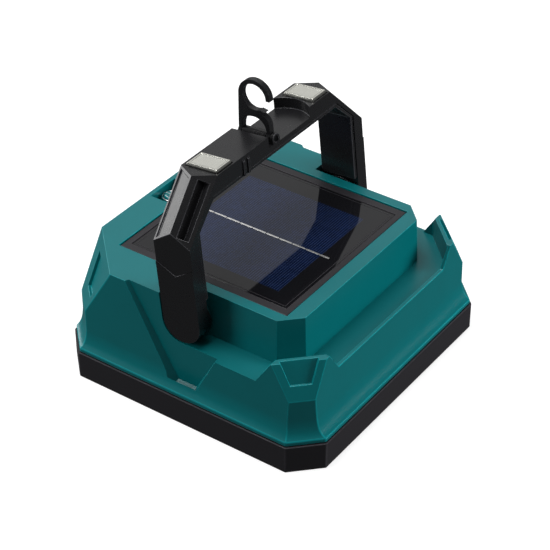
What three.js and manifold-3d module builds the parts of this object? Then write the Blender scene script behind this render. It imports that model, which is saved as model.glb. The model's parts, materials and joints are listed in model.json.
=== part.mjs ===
// Solar work lantern: teal housing on a black bezel, folding handle with magnets and a flip-up hook.
// Millimetres, +Z up, the light faces down and the lantern stands on the bezel at z = 0.
import * as THREE from "three";
import { ConvexGeometry } from "three/addons/geometries/ConvexGeometry.js";
import { mergeVertices } from "three/addons/utils/BufferGeometryUtils.js";
import Module from "manifold-3d";

const wasm = await Module();
wasm.setup();

// ---------------------------------------------------------------- driving dimensions
const GAP = 0.3; // clearance between neighbouring pieces
const FAR = 120; // reach of cutters that run past the part

const BASE = { x: 80, y: 84.35, corner: 149.75, height: 15.6 }; // half sizes; corner: |x| + |y|
const TOP_Z = 70; // top of the plateau
const WALL = 2.6;

const FLANGE = { x: 79.2, y: 83.5, corner: 148.4, low: 15.9, high: 18.2 };
const BODY = { left: 77.3, right: 73.6, y: 79.4, corner: 142.6 }; // section where the walls start
const BODY_TOP = { left: 76, right: 71.6, y: 77.9 }; // the same walls at TOP_Z
const FACET = { foot: 40, slope: 0.63 }; // corner facets lean in above this height

const FLOOR_Z = 44.4; // floor of the channel round the solar island
const ISLAND = { x: 54.2, y: 61.2, corner: 10, draft: 1.2 };
const RIM = { x: 70.6, y: 76.3, corner: 126, sideTop: 47, postTop: 58 };
const RIM_SLOPE = { low: 49, high: 56.5, start: 44, end: 52.4 };
const SIDE_PANEL = { depth: 75.9, topLeft: -36, footLeft: -6, footRight: 5.5, right: 19.5, foot: 20.5 };

const PANEL = { x0: -57.85, x1: 45.4, y: 54.7, recess: 3.4 };
const BAY = { x0: -73.3, x1: -61.6, y: 10.3, floor: 63.4 };

const PIVOT = { x: -3.1, z: 56.5, pin: 3.3, bore: 3.4 };
const REST_TILT = THREE.MathUtils.degToRad(6); // the handle rests against its pocket wall, leaning to -X
// Handle sizes, measured up its arms from the pivot axis.
const ARM = {
  half: 11.2, outer: 75.2, inner: 65.6, bendOut: 45, bendIn: 49.6,
  shoulder: 48.2, shoulderIn: 52.7, top: 73, under: 61.7, peak: 6.6,
};
const HOOK = {
  pinZ: 69.3, ringX: 0.9, ringZ: 90.8, ring: 9.7, hole: 7, half: 1.9, eye: 3, pin: 1.68,
  feet: [[-10.9, -8.3], [6.6, 9]],
};
const LINER = 2.2; // thickness of the strip that closes the inside of the handle
const LINER_FOOT = 12;
const RECESS = { floor: 67, y0: -6.4, arcY: 18, radius: 16 };
const MAGNET = { x: 19, y: 12.8, y0: 41, x0: 0.6, deep: 2.2, proud: 1.5, bevel: 0.7 };

const WINDOW = { x: 66, y: 70, corner: 117 };
const LENS = { x: 72, y: 76, corner: 125 };
const CELL = { radius: 9.2, length: 65, z: 37, pitch: 20 };
const SCREW = { x: 64.4, y: 68.4 };
const SKIRT = { // lip of the housing that drops inside the bezel
  outer: { x: 76.2, y: 80.5, corner: 143.6 }, inner: { x: 73.4, y: 77.6, corner: 139.6 }, foot: 9.6,
};
const SEAL = { z0: 7.9, ledge: 3.2 };

// ---------------------------------------------------------------- solids
function solid(geometry) {
  const bare = geometry.clone();
  bare.deleteAttribute("normal");
  bare.deleteAttribute("uv");
  const merged = mergeVertices(bare, 1e-4);
  return new wasm.Manifold(new wasm.Mesh({
    numProp: 3,
    vertProperties: Float32Array.from(merged.attributes.position.array),
    triVerts: Uint32Array.from(merged.index.array),
  }));
}

function outline(points) {
  return new THREE.Shape(points.map(([a, b]) => new THREE.Vector2(a, b)));
}

function extrude(shape, depth, segments = 12) {
  return new THREE.ExtrudeGeometry(shape, { depth, bevelEnabled: false, curveSegments: segments });
}

// A shape drawn in XY, from z0 to z1.
function prismZ(shape, z0, z1, segments) {
  return solid(extrude(shape, z1 - z0, segments).translate(0, 0, z0));
}

// A shape drawn in XZ, from y0 to y1.
function prismY(shape, y0, y1, segments) {
  return solid(extrude(shape, y1 - y0, segments).rotateX(Math.PI / 2).translate(0, y1, 0));
}

// A shape drawn in YZ, from x0 to x1.
function prismX(shape, x0, x1, segments) {
  const turn = new THREE.Matrix4().makeBasis(
    new THREE.Vector3(0, 1, 0), new THREE.Vector3(0, 0, 1), new THREE.Vector3(1, 0, 0));
  return solid(extrude(shape, x1 - x0, segments).applyMatrix4(turn).translate(x0, 0, 0));
}

function box(x0, x1, y0, y1, z0, z1) {
  const g = new THREE.BoxGeometry(x1 - x0, y1 - y0, z1 - z0);
  return solid(g.translate((x0 + x1) / 2, (y0 + y1) / 2, (z0 + z1) / 2));
}

function cylinder(axis, radius, length, at, segments = 32, tip = radius) {
  const g = new THREE.CylinderGeometry(tip, radius, length, segments);
  if (axis === "x") g.rotateZ(-Math.PI / 2);
  if (axis === "z") g.rotateX(Math.PI / 2);
  return solid(g.translate(...at));
}

function hull(points) {
  return solid(new ConvexGeometry(points.map((p) => new THREE.Vector3(...p))));
}

// An octagon given by its four sides and the |x| + |y| of its cut corners.
function octagon(left, right, y, corner) {
  const cut = (x) => corner - x;
  return [
    [-left, -cut(left)], [-(corner - y), -y], [corner - y, -y], [right, -cut(right)],
    [right, cut(right)], [corner - y, y], [-(corner - y), y], [-left, cut(left)],
  ];
}

function slab(size, z0, z1) {
  return prismZ(outline(octagon(size.x, size.x, size.y, size.corner)), z0, z1);
}

function ring(outer, inner, z0, z1) {
  return slab(outer, z0, z1).subtract(slab(inner, z0 - 1, z1 + 1));
}

function grown(size, by) {
  return { x: size.x + by, y: size.y + by, corner: size.corner + by * Math.SQRT2 };
}

function loft(low, z0, high, z1) {
  return hull([...low.map(([x, y]) => [x, y, z0]), ...high.map(([x, y]) => [x, y, z1])]);
}

function join(parts) {
  return parts.reduce((sum, part) => sum.add(part));
}

function cutAll(body, tools) {
  return tools.reduce((left, tool) => left.subtract(tool), body);
}

function bothSides(make) {
  return [make(-1), make(1)];
}

function fourCorners(make) {
  return [make(-1, -1), make(-1, 1), make(1, -1), make(1, 1)];
}

// ---------------------------------------------------------------- scene
const lantern = new THREE.Group();
const handleGroup = new THREE.Group();
handleGroup.position.set(PIVOT.x, 0, PIVOT.z);
handleGroup.rotation.y = -REST_TILT;
lantern.add(handleGroup);

function finish(color, roughness, metalness = 0) {
  return { color, roughness, metalness };
}

const TEAL = finish(0x2f7f80, 0.45);
const BLACK = finish(0x242426, 0.5);
const RUBBER = finish(0x1a1a1c, 0.8);
const NICKEL = finish(0xd9d8cc, 0.28, 1);
const STEEL = finish(0x9a9da0, 0.35, 1);
const ALUMINIUM = finish(0xb8bcc0, 0.4, 1);
const CLEAR = finish(0xe6eef0, 0.15);
const WHITE = finish(0xf0f0ec, 0.5);
const AMBER = finish(0xe8c84a, 0.5);
const BOARD = finish(0x1d5a35, 0.55);
const WAFER = finish(0x1b2748, 0.25);
const WRAP = finish(0x2d62b0, 0.4);
const CHIP = finish(0x161618, 0.5);

function place(name, body, look, parent = lantern) {
  const mesh = body.getMesh();
  const geometry = new THREE.BufferGeometry();
  geometry.setAttribute("position", new THREE.Float32BufferAttribute(mesh.vertProperties, 3));
  geometry.setIndex(new THREE.Uint32BufferAttribute(mesh.triVerts, 1));
  const node = new THREE.Mesh(geometry, new THREE.MeshStandardMaterial(look));
  node.name = name;
  parent.add(node);
}

// ---------------------------------------------------------------- housing
// The half space outside a leaning corner facet, as a big wedge; inset moves it inwards.
function facetCutter(sx, sy, inset) {
  const shift = inset * Math.hypot(Math.SQRT2, FACET.slope);
  const at = (z) => BODY.corner - FACET.slope * (z - FACET.foot) - shift;
  const corners = [];
  for (const z of [FACET.foot - shift, TOP_Z + 20]) {
    const k = at(z);
    corners.push([sx * FAR, sy * (k - FAR), z], [sx * (k - FAR), sy * FAR, z]);
    corners.push([sx * FAR, sy * FAR, z]);
  }
  return hull(corners);
}

function wallSection(blend) {
  const mix = (a, b) => THREE.MathUtils.lerp(a, b, blend);
  return octagon(mix(BODY.left, FLANGE.x), mix(BODY.right, FLANGE.x), mix(BODY.y, FLANGE.y),
    mix(BODY.corner, FLANGE.corner));
}

function outerBody() {
  const steps = [[FLANGE.high, 1], [19.4, 0.62], [21.4, 0.32], [24.4, 0.12], [28.4, 0]];
  const flare = steps.slice(1).map(([z, blend], i) =>
    loft(wallSection(steps[i][1]), steps[i][0], wallSection(blend), z));
  const flange = prismZ(outline(wallSection(1)), FLANGE.low, FLANGE.high);
  const top = octagon(BODY_TOP.left, BODY_TOP.right, BODY_TOP.y, BODY.corner);
  const walls = loft(wallSection(0), steps.at(-1)[0], top, TOP_Z);
  return cutAll(join([flange, ...flare, walls]), fourCorners((sx, sy) => facetCutter(sx, sy, 0)));
}

function island() {
  const low = ISLAND.draft;
  const side = (x, y, c) => [[-44, -y], [x - c, -y], [x, c - y], [x, y - c], [x - c, y], [-44, y]];
  return loft(side(ISLAND.x + low, ISLAND.y + low, ISLAND.corner + low / 2), FLOOR_Z - 1,
    side(ISLAND.x, ISLAND.y, ISLAND.corner), TOP_Z + 1);
}

// Everything above the channel floor that the handle needs, up to its resting wall.
function channelSpace() {
  const reach = ARM.half + 0.7;
  const round = cylinder("y", reach, 2 * FAR, [PIVOT.x, 0, FLOOR_Z + reach], 48);
  const right = box(PIVOT.x, FAR, -FAR, FAR, FLOOR_Z, FAR);
  const lean = new THREE.BoxGeometry(2 * reach, 2 * FAR, 60).translate(0, 0, 30);
  lean.rotateY(-REST_TILT).translate(PIVOT.x, 0, FLOOR_Z + reach);
  return join([round, right, solid(lean)]);
}

// The low outer wall that is left standing round the channel, with its raised corner posts.
function rimWall() {
  const inside = prismZ(outline(octagon(RIM.y, RIM.x, RIM.y, RIM.corner)), 0, FAR)
    .add(box(-FAR, 0, -RIM.y, RIM.y, 0, FAR));
  const sideCut = outline([
    [-FAR, FLOOR_Z], [RIM_SLOPE.start, FLOOR_Z], [RIM_SLOPE.end, RIM.postTop],
    [RIM_SLOPE.end, FAR], [-FAR, FAR],
  ]);
  const endCut = outline([
    [-RIM_SLOPE.low, RIM.sideTop], [RIM_SLOPE.low, RIM.sideTop], [RIM_SLOPE.high, RIM.postTop],
    [RIM_SLOPE.high, FAR], [-RIM_SLOPE.high, FAR], [-RIM_SLOPE.high, RIM.postTop],
  ]);
  return cutAll(outerBody(), [
    inside, prismY(sideCut, -FAR, FAR), prismX(endCut, ISLAND.x, FAR),
    box(-FAR, FAR, -FAR, FAR, RIM.postTop, FAR),
  ]);
}

function sidePanelCutter(side) {
  const p = SIDE_PANEL;
  const shape = (grow) => [
    [p.topLeft - 1.2 * grow, TOP_Z + 1], [p.footLeft - 0.6 * grow, p.foot - grow],
    [p.footRight + 0.4 * grow, p.foot - grow], [p.right + grow, 46 + grow], [p.right + grow, TOP_Z + 1],
  ];
  const deep = shape(0).map(([x, z]) => [x, side * p.depth, z]);
  const open = shape(2.2).map(([x, z]) => [x, side * (BODY.y + 1), z]);
  return hull([...deep, ...open]);
}

// A shallow trapezoid window sunk square into a corner facet.
function facetWindow(sx, sy) {
  const lean = Math.atan2(FACET.slope, Math.SQRT2);
  const foot = { z: 47.4, half: 5.4 };
  const head = { z: 64, half: 11.6 };
  const depth = 1.7;
  const up = (z) => (z - foot.z) / Math.cos(lean);
  const shape = outline([
    [-foot.half, 0], [foot.half, 0], [head.half, up(head.z)], [-head.half, up(head.z)],
  ]);
  const g = extrude(shape, 14).translate(0, 0, -depth);
  g.rotateX(Math.PI / 2 - lean);
  g.rotateZ(Math.atan2(sy, sx) + Math.PI / 2);
  const k = BODY.corner - FACET.slope * (foot.z - FACET.foot);
  const middle = (k + BODY.right - BODY.y) / 2; // x of the facet's middle
  return solid(g.translate(sx * middle, sy * (k - middle), foot.z));
}

function housingCavity() {
  const t = WALL;
  const lower = loft(octagon(BODY.left - t, BODY.right - t, BODY.y - t, BODY.corner - 4), 7.6,
    octagon(BODY.left - t - 0.6, BODY.right - t - 0.6, SIDE_PANEL.depth - t, BODY.corner - 4), 41.4);
  const room = { x: ISLAND.x - t, y: ISLAND.y - t, corner: ISLAND.x + ISLAND.y - ISLAND.corner - 3.8 };
  const upper = prismZ(outline([
    [-BODY_TOP.left + 3, -room.y], [room.corner - room.y, -room.y], [room.x, room.x - room.corner],
    [room.x, room.corner - room.x], [room.corner - room.y, room.y], [-BODY_TOP.left + 3, room.y],
  ]), 30, 64);
  const bay = box(BAY.x0 - 2, BAY.x1 + 2, -BAY.y - 2, BAY.y + 2, BAY.floor - 2, FAR);
  return cutAll(lower.add(upper), [
    bay, ...fourCorners((sx, sy) => facetCutter(sx, sy, 4.6)),
  ]);
}

function screwBoss(sx, sy) {
  const outer = cylinder("z", 4.4, 22, [sx * SCREW.x, sy * SCREW.y, 20], 24);
  return outer.subtract(cylinder("z", 1.9, 18, [sx * SCREW.x, sy * SCREW.y, 16], 20));
}

function boardPost(x, y) {
  return cylinder("z", 2.4, 9, [x, y, CONTROL.z + 1.1 + 4.5], 20);
}

function pivotBoss(side) {
  return cylinder("y", 7, 3.2, [PIVOT.x, side * (ISLAND.y + 1.4), PIVOT.z], 32);
}

function pivotBore(side) {
  return cylinder("y", PIVOT.bore, 14, [PIVOT.x, side * (ISLAND.y - 1), PIVOT.z], 24);
}

function housing() {
  const channel = channelSpace().subtract(island()).subtract(rimWall());
  const skirt = ring(SKIRT.outer, SKIRT.inner, SKIRT.foot, FLANGE.low + 0.5);
  const shell = cutAll(outerBody(), [
    channel, ...bothSides(sidePanelCutter), ...fourCorners(facetWindow), housingCavity(),
  ]);
  const posts = [boardPost(CONTROL.x1 - 4, CONTROL.y0 + 4), boardPost(CONTROL.x1 - 4, CONTROL.y1 - 4)];
  const fitted = join([shell, skirt, ...fourCorners(screwBoss), ...bothSides(pivotBoss), ...posts]);
  const c = PANEL;
  return cutAll(fitted, [
    ...bothSides(pivotBore),
    box(c.x0 - 0.6, c.x1 + 0.6, -c.y - 0.6, c.y + 0.6, TOP_Z - c.recess, FAR),
    box(BAY.x0, BAY.x1, -BAY.y, BAY.y, BAY.floor, FAR),
    cylinder("z", 3.6, 10, [BUTTON.x, 0, BAY.floor], 32),
    box(-FAR, -70, USB.y - 6.2, USB.y + 6.2, USB.z - 3.4, USB.z + 3.4),
    box(-FAR, USB.face, USB.y - 9, USB.y + 9, USB.z - 6.2, USB.z + 6.6),
    ...PIPES.map((y) => cylinder("x", 1.6, 20, [-74, y, USB.z], 16)),
    cylinder("z", 1.6, 12, [c.x0 + 12, 0, TOP_Z - c.recess - 2], 16),
  ]);
}

// ---------------------------------------------------------------- bezel and light unit
function bezel() {
  const cavity = { x: BASE.x - 3.3, y: BASE.y - 3.35, corner: BASE.corner - 5 };
  const body = slab(BASE, 0, BASE.height);
  const heads = fourCorners((sx, sy) => join([
    cylinder("z", 3.9, 4, [sx * SCREW.x, sy * SCREW.y, 1], 24),
    cylinder("z", 2, 12, [sx * SCREW.x, sy * SCREW.y, 4], 20),
  ]));
  const pads = fourCorners((sx, sy) => cylinder("z", 5.2, 5.4, [sx * SCREW.x, sy * SCREW.y, 5.7], 24));
  const open = cutAll(body, [
    slab(cavity, SEAL.z0 - GAP, FAR), slab(grown(cavity, -SEAL.ledge), 3, FAR),
    slab(WINDOW, -1, FAR), slab(grown(WINDOW, 2), -1, 1),
  ]);
  return cutAll(join([open, ...pads]), heads);
}

function lightUnit() {
  const gasket = { z0: 5.9, z1: 7.2 };
  place("light_lens", slab(LENS, 3.3, 5.6), CLEAR);
  place("lens_gasket", ring(LENS, grown(LENS, -4.5), gasket.z0, gasket.z1), RUBBER);
  const tray = loft(octagon(71.5, 71.5, 75.5, 124.5), 7.5, octagon(48, 48, 51, 90), 14.5);
  const hollow = loft(octagon(69.6, 69.6, 73.6, 121.5), 7.4, octagon(46.1, 46.1, 49.1, 86.4), 14.6);
  place("reflector", tray.subtract(hollow), WHITE);
  place("led_board", box(-45, 45, -48, 48, 14.9, 16.4), WHITE);
  const chips = [box(-41, 41, -44, 44, 14.3, 14.6)];
  for (let i = -3; i <= 3; i += 1) {
    for (let j = -3; j <= 3; j += 1) {
      chips.push(box(i * 12 - 2.4, i * 12 + 2.4, j * 13 - 2.4, j * 13 + 2.4, 13.4, 14.4));
    }
  }
  place("led_array", join(chips), AMBER);
  const fins = [-36, -24, -12, 0, 12, 24, 36].map((y) => box(-44, 44, y - 0.9, y + 0.9, 18, 23.6));
  place("heat_sink", join([box(-50, 50, -52, 52, 16.7, 18.6), ...fins]), ALUMINIUM);
}

function seal() {
  place("housing_seal", ring(SKIRT.outer, grown(SKIRT.outer, -2.4), SEAL.z0, SKIRT.foot - GAP), RUBBER);
}

function screws() {
  fourCorners((sx, sy) => {
    const [x, y] = [sx * SCREW.x, sy * SCREW.y];
    const head = cylinder("z", 3.5, 1.8, [x, y, 1.9], 24);
    const cross = box(x - 2, x + 2, y - 0.5, y + 0.5, 0.5, 1.7)
      .add(box(x - 0.5, x + 0.5, y - 2, y + 2, 0.5, 1.7));
    const body = head.add(cylinder("z", 1.6, 19, [x, y, 12], 16)).subtract(cross);
    place(`case_screw_${sx < 0 ? "left" : "right"}_${sy < 0 ? "near" : "far"}`, body, STEEL);
  });
}

// ---------------------------------------------------------------- power and control
const USB = { y: 34, z: 50, face: -75.5 };
const PIPES = [-22, -14, -6, 2];
const BUTTON = { x: -67.45, radius: 3.1, cap: 4.3 };
const CONTROL = { x0: -70.6, x1: -50, y0: -30, y1: 44, z: 54.4 };

function batteryPack() {
  const places = [-1.5, -0.5, 0.5, 1.5].map((step) => step * CELL.pitch);
  places.forEach((x, i) => {
    const can = cylinder("y", CELL.radius, CELL.length - 1.6, [x, 0, CELL.z], 28);
    const button = cylinder("y", 3.2, 1.6, [x, (i % 2 ? -1 : 1) * (CELL.length / 2), CELL.z], 16);
    place(`battery_cell_${i + 1}`, join([can, button]), WRAP);
  });
  const tray = box(-42, 42, -38, 38, 23.6 + GAP, CELL.z + 2);
  const bays = places.map((x) => cylinder("y", CELL.radius + 0.4, CELL.length + 4, [x, 0, CELL.z], 28));
  place("battery_tray", cutAll(tray, [...bays, box(-40, 40, -34.5, 34.5, CELL.z - 1, FAR)]), BLACK);
  bothSides((side) => {
    const y = side * (CELL.length / 2 + 1.3);
    place(`battery_strip_${side < 0 ? "near" : "far"}`,
      box(-34, 34, y - 0.15, y + 0.15, CELL.z + 2.6, CELL.z + 7), NICKEL);
  });
}

function controlBoard() {
  const { x0, x1, y0, y1, z } = CONTROL;
  place("control_board", box(x0, x1, y0, y1, z - 0.8, z + 0.8), BOARD);
  place("charge_chip", box(-58, -53, -20, -13, 55.5, 56.9), CHIP);
  place("driver_chip", box(-58, -54, 8, 14, 55.5, 56.9), CHIP);
  place("driver_coil", cylinder("z", 3.6, 3.4, [-56, 22, 57.3], 24), CHIP);
  place("power_switch", join([
    box(BUTTON.x - 3, BUTTON.x + 3, -3, 3, 55.5, 58.6), cylinder("z", 1.6, 1.2, [BUTTON.x, 0, 59], 20),
  ]), CHIP);
  const shell = box(-75, -67.8, USB.y - 5.4, USB.y + 5.4, USB.z - 2.6, USB.z + 2.6);
  const mouth = box(-80, -69, USB.y - 4.8, USB.y + 4.8, USB.z - 2, USB.z + 2);
  const tongue = box(-73.6, -68.4, USB.y - 3.6, USB.y + 3.6, USB.z - 0.4, USB.z + 0.4);
  place("usb_socket", join([shell.subtract(mouth), tongue]), STEEL);
  const bar = box(-72.7, -70.9, PIPES[0] - 2, PIPES.at(-1) + 2, USB.z - 1.8, USB.z + 1.8);
  const pins = PIPES.map((y) => cylinder("x", 1.25, 5.6, [-74.1, y, USB.z], 16));
  place("indicator_light_pipe", join([bar, ...pins]), CLEAR);
}

function usbFlap() {
  const x = USB.face - GAP;
  const cover = box(x - 1, x, USB.y - 8.6, USB.y + 8.6, USB.z - 5.8, USB.z + 4.6);
  const knuckle = cylinder("y", 0.7, 16, [x - 0.7, USB.y, USB.z + 5.1], 16);
  const tab = box(x - 1.5, x - 0.5, USB.y - 2.4, USB.y + 2.4, USB.z - 5.9, USB.z - 5);
  place("usb_flap", join([cover, knuckle, tab]), RUBBER);
}

function powerButton() {
  const stem = cylinder("z", BUTTON.radius, 5, [BUTTON.x, 0, 64.1], 28);
  const cap = cylinder("z", BUTTON.cap, 1.6, [BUTTON.x, 0, 66.6], 32, BUTTON.cap - 0.5);
  place("power_button", join([stem, cap]), TEAL);
  const rim = new THREE.LatheGeometry([
    [BUTTON.cap + 0.35, 63.8], [5.5, 63.8], [5.5, 66.2], [5.1, 66.7], [BUTTON.cap + 0.35, 66.7],
    [BUTTON.cap + 0.35, 63.8],
  ].map(([r, z]) => new THREE.Vector2(r, z)), 40);
  place("button_trim_ring", solid(rim.rotateX(Math.PI / 2).translate(BUTTON.x, 0, 0)), NICKEL);
}

// ---------------------------------------------------------------- solar panel
function solarPanel() {
  const { x0, x1, y } = PANEL;
  const low = TOP_Z - PANEL.recess + GAP;
  const bed = box(x0, x1, -y, y, low, low + 2.2);
  const edge = { x: 3.4, y: 4.6 };
  const frame = box(x0, x1, -y, y, low + 1, TOP_Z - 0.5);
  const well = box(x0 + edge.x, x1 - edge.x, -y + edge.y, y - edge.y, low + 1.2, FAR);
  place("solar_board", join([bed, frame]).subtract(well), BLACK);
  const inner = { x: edge.x + GAP, y: edge.y + GAP };
  place("solar_wafer", box(x0 + inner.x, x1 - inner.x, -y + inner.y, y - inner.y,
    low + 1.2 + GAP, TOP_Z - 0.85), WAFER);
  place("solar_busbar", box(x0 + 9, x1 - 9, -3.6, -1.9, TOP_Z - 0.55, TOP_Z - 0.35), WHITE);
}

// ---------------------------------------------------------------- handle (arms run up from the pivot)
function mirroredOutline(half) {
  return outline([...half, ...half.map(([y, z]) => [-y, z]).reverse()]);
}

// The space inside the arch, grown outwards into the handle by a thickness.
function archSpace(grow) {
  const slanted = grow * (Math.SQRT2 - 1);
  return mirroredOutline([
    [ARM.inner + grow, -FAR], [ARM.inner + grow, ARM.bendIn], [ARM.shoulderIn + slanted, ARM.under + grow],
  ]);
}

// A roof on the sloping shoulder; its upper end stands out just far enough for its faces to be flat.
function ridge(side) {
  const w = ARM.half;
  const out = ARM.peak * (ARM.outer - ARM.shoulder) / (ARM.top - ARM.bendOut);
  return hull([
    [-w, side * ARM.outer, ARM.bendOut], [w, side * ARM.outer, ARM.bendOut],
    [-w, side * ARM.shoulder, ARM.top], [w, side * ARM.shoulder, ARM.top],
    [0, side * ARM.outer, ARM.bendOut + ARM.peak], [0, side * (ARM.shoulder + out), ARM.top],
  ]);
}

function legPad(side) {
  const w = ARM.half;
  const shape = outline([[-w, 0], [w, 0], [w, 33.2], [0, 27.2], [-w, 33.2]]);
  const y = side * ARM.outer;
  const pad = prismY(shape, Math.min(y, y + side * 0.6), Math.max(y, y + side * 0.6));
  return join([pad, cylinder("y", w, 0.6, [0, y + side * 0.3, 0], 40)]);
}

function legEnd(side) {
  const thick = ARM.outer - ARM.inner;
  return cylinder("y", ARM.half, thick, [0, side * (ARM.inner + thick / 2), 0], 40);
}

// The sunk groove on the +X side of each sloping shoulder.
function shoulderGroove(side) {
  const at = (along, out) => {
    const y = THREE.MathUtils.lerp(ARM.outer, ARM.shoulder, along);
    const z = THREE.MathUtils.lerp(ARM.bendOut, ARM.top, along);
    return [side * (y + out * Math.SQRT1_2), z + out * Math.SQRT1_2];
  };
  const section = [[3.4, 9], [3.4, 2.9], [5, -1.4], [9.3, 0.8], [12.4, 9]];
  const points = [];
  for (const along of [0.1, 0.87]) {
    for (const [x, out] of section) points.push([x, ...at(along, out)]);
  }
  return hull(points);
}

function barRecess() {
  const r = RECESS;
  const space = box(-FAR, FAR, r.y0, r.arcY, r.floor, FAR);
  const wall = cylinder("z", r.radius, 40, [0, r.arcY, r.floor + 20], 48);
  const clip = box(-FAR, FAR, r.arcY - 1, FAR, r.floor, FAR);
  return space.add(wall.intersect(clip));
}

// Slots for the two feet of the hook, either side of the bearing block that carries its pin.
function hookSlots() {
  const wide = HOOK.eye + 0.5;
  return join(HOOK.feet.map(([x0, x1]) =>
    box(x0 < 0 ? -FAR : x0 - GAP, x1 + GAP, -wide, wide, HOOK.pinZ - wide, FAR)));
}

function bearingBlock() {
  const round = cylinder("x", 2.9, 2 * ARM.half, [0, 0, HOOK.pinZ], 24);
  return round.add(box(-ARM.half, ARM.half, -2.9, 2.9, RECESS.floor - 1, HOOK.pinZ));
}

function magnetSeat(side) {
  const m = MAGNET;
  return box(m.x0 - m.x / 2 - GAP, m.x0 + m.x / 2 + GAP, side * m.y0 - m.y / 2 - GAP,
    side * m.y0 + m.y / 2 + GAP, ARM.top - m.deep - GAP, FAR);
}

function handle() {
  const full = prismX(mirroredOutline([
    [ARM.outer, 0], [ARM.outer, ARM.bendOut], [ARM.shoulder, ARM.top],
  ]), -ARM.half, ARM.half);
  const inside = prismX(archSpace(LINER), -FAR, FAR);
  const arch = full.subtract(inside).subtract(barRecess()).add(bearingBlock());
  const sides = bothSides((s) => join([ridge(s), legPad(s), legEnd(s)]));
  const bores = bothSides((s) => cylinder("y", PIVOT.bore, 7.4, [0, s * (ARM.inner + 3), 0], 24));
  const washers = bothSides((s) => cylinder("y", 7, 1.4, [0, s * ARM.inner, 0], 28));
  return cutAll(join([arch, ...sides]), [
    inside.subtract(box(-FAR, FAR, -FAR, FAR, -FAR, LINER_FOOT)),
    hookSlots(), ...bothSides(magnetSeat), ...bothSides(shoulderGroove),
    ...bores, ...washers, cylinder("x", HOOK.pin + 0.07, 2 * FAR, [0, 0, HOOK.pinZ], 20),
  ]);
}

function handleLiner() {
  const band = prismX(archSpace(LINER - GAP), -ARM.half + 0.5, ARM.half - 0.5)
    .subtract(prismX(archSpace(0), -FAR, FAR));
  return band.subtract(box(-FAR, FAR, -FAR, FAR, -FAR, LINER_FOOT + GAP));
}

function magnet(side) {
  const m = MAGNET;
  const at = (grow, z) => [[-1, -1], [1, -1], [1, 1], [-1, 1]].map(([a, b]) =>
    [m.x0 + a * (m.x / 2 - grow), side * m.y0 + b * (m.y / 2 - grow), z]);
  return hull([...at(0, ARM.top - m.deep), ...at(0, ARM.top + m.proud - m.bevel),
    ...at(m.bevel, ARM.top + m.proud)]);
}

// A ring that is open on its +X side, on a stirrup that straddles the bar.
function hook() {
  const h = HOOK;
  const centre = [h.ringX, 0, h.ringZ];
  const t = 2 * h.half;
  const disc = cylinder("y", h.ring, t, centre, 48);
  const hole = cylinder("y", h.hole, FAR, centre, 48);
  const foot = h.pinZ;
  const leg = outline([[-10.9, foot], [-8.3, foot], [-6.1, 90], [-8.8, 91]]);
  const web = new THREE.Shape();
  web.moveTo(-9.6, 76);
  web.lineTo(-8.9, 88);
  web.lineTo(-3, 84.6);
  web.bezierCurveTo(1, 82.6, 6, 83.4, 8.4, 79);
  web.bezierCurveTo(9.2, 77, 9, 74, 9, 72);
  web.lineTo(9, foot);
  web.lineTo(6.6, foot);
  web.lineTo(6.6, 73);
  web.bezierCurveTo(6, 78.4, 2, 79.8, -1, 79.6);
  web.bezierCurveTo(-5, 79.6, -7.6, 77.6, -7.9, 73);
  const mouth = outline([[4, 89.8], [FAR, 88], [FAR, 70], [8.6, 83.2], [4, 84.4]]);
  const flat = [prismY(leg, -h.half, h.half), prismY(web, -h.half, h.half, 10), disc];
  const plate = cutAll(join(flat), [hole, prismY(mouth, -FAR, FAR)]);
  const eyes = h.feet.map(([x0, x1]) =>
    cylinder("x", h.eye, x1 - x0, [(x0 + x1) / 2, 0, h.pinZ], 28));
  return cutAll(join([plate, ...eyes]), [cylinder("x", h.pin + 0.07, 2 * FAR, [0, 0, h.pinZ], 20)]);
}

function handlePins() {
  place("hook_pin", cylinder("x", HOOK.pin, 2 * ARM.half - 0.6, [0, 0, HOOK.pinZ], 20), STEEL, handleGroup);
  bothSides((side) => {
    const label = side < 0 ? "near" : "far";
    const shaft = cylinder("y", PIVOT.pin, 14.6, [0, side * (ARM.inner - 1.6), 0], 24);
    const head = cylinder("y", 5.2, 1.8, [0, side * (ISLAND.y - WALL - 2.6), 0], 28);
    place(`pivot_pin_${label}`, join([shaft, head]), STEEL, handleGroup);
    const disc = cylinder("y", 6.6, 1.3, [0, side * (ARM.inner - 0.4), 0], 28);
    place(`friction_washer_${label}`,
      disc.subtract(cylinder("y", PIVOT.bore + 0.1, 10, [0, side * ARM.inner, 0], 24)), NICKEL, handleGroup);
  });
}

function handleUnit() {
  place("handle", handle(), BLACK, handleGroup);
  place("handle_liner", handleLiner(), BLACK, handleGroup);
  bothSides((side) => place(`magnet_${side < 0 ? "near" : "far"}`, magnet(side), NICKEL, handleGroup));
  place("hook", hook(), BLACK, handleGroup);
  handlePins();
}

// ---------------------------------------------------------------- assembly
place("housing", housing(), TEAL);
place("bezel", bezel(), BLACK);
seal();
screws();
lightUnit();
batteryPack();
controlBoard();
usbFlap();
powerButton();
solarPanel();
handleUnit();

export default lantern;
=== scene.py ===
"""The looks of a solar work lantern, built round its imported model.

Every sub-assembly is a class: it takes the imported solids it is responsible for, rounds their edges, adds the
small pieces that the solids leave out, and dresses them in a finish. Lengths are metres.
"""

import json
import logging
import math
from collections.abc import Callable, Iterable, Sequence
from dataclasses import dataclass, field
from enum import Enum

import bmesh
import bpy
from mathutils import Matrix, Vector


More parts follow.
